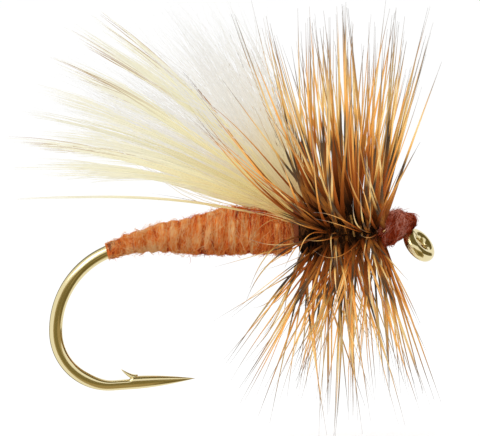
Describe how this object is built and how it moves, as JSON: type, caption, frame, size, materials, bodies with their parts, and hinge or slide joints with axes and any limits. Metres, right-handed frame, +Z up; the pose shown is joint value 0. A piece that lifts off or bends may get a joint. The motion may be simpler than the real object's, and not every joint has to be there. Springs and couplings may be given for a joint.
{
  "type": "dry fly",
  "caption": "Fly fishing lure tied on a barbed hook, with a dubbed body, swept hair wing and wound hackle collar.",
  "frame": {"origin": "centre of the hole in the hook's turned-down eye, where the line is tied on", "axes": "+X forward along the shank's direction, out past the eye; +Z up, away from the hook's point; +Y to the fly's left, square to the hook's plane"},
  "size_m": [0.0201, 0.0219, 0.0222],
  "materials": {
    "bronzed_wire": "gold bronze lacquer on bright wire",
    "tying_thread": "waxed thread",
    "orange_dubbing": "twisted fine dubbing, fuzzy",
    "cream_hair": "bleached body hair, slightly glossy",
    "white_yarn": "combed fine yarn",
    "dark_dubbing": "twisted dark dubbing",
    "brown_feather": "stiff glossy feather barbs",
    "cree_feather": "stiff glossy barred feather barbs",
    "maroon_dubbing": "short fuzzy dubbing"
  },
  "bodies": {
    "root": {"hook": "bronzed_wire", "thread_base": "tying_thread", "abdomen_dubbing": "orange_dubbing", "hair_wing": "cream_hair", "yarn_wing": "white_yarn", "wing_lashing": "tying_thread", "thorax_dubbing": "dark_dubbing", "brown_hackle": "brown_feather", "cree_hackle": "cree_feather", "tip_lashing": "tying_thread", "head_dubbing": "maroon_dubbing"}
  },
  "joints": []
}
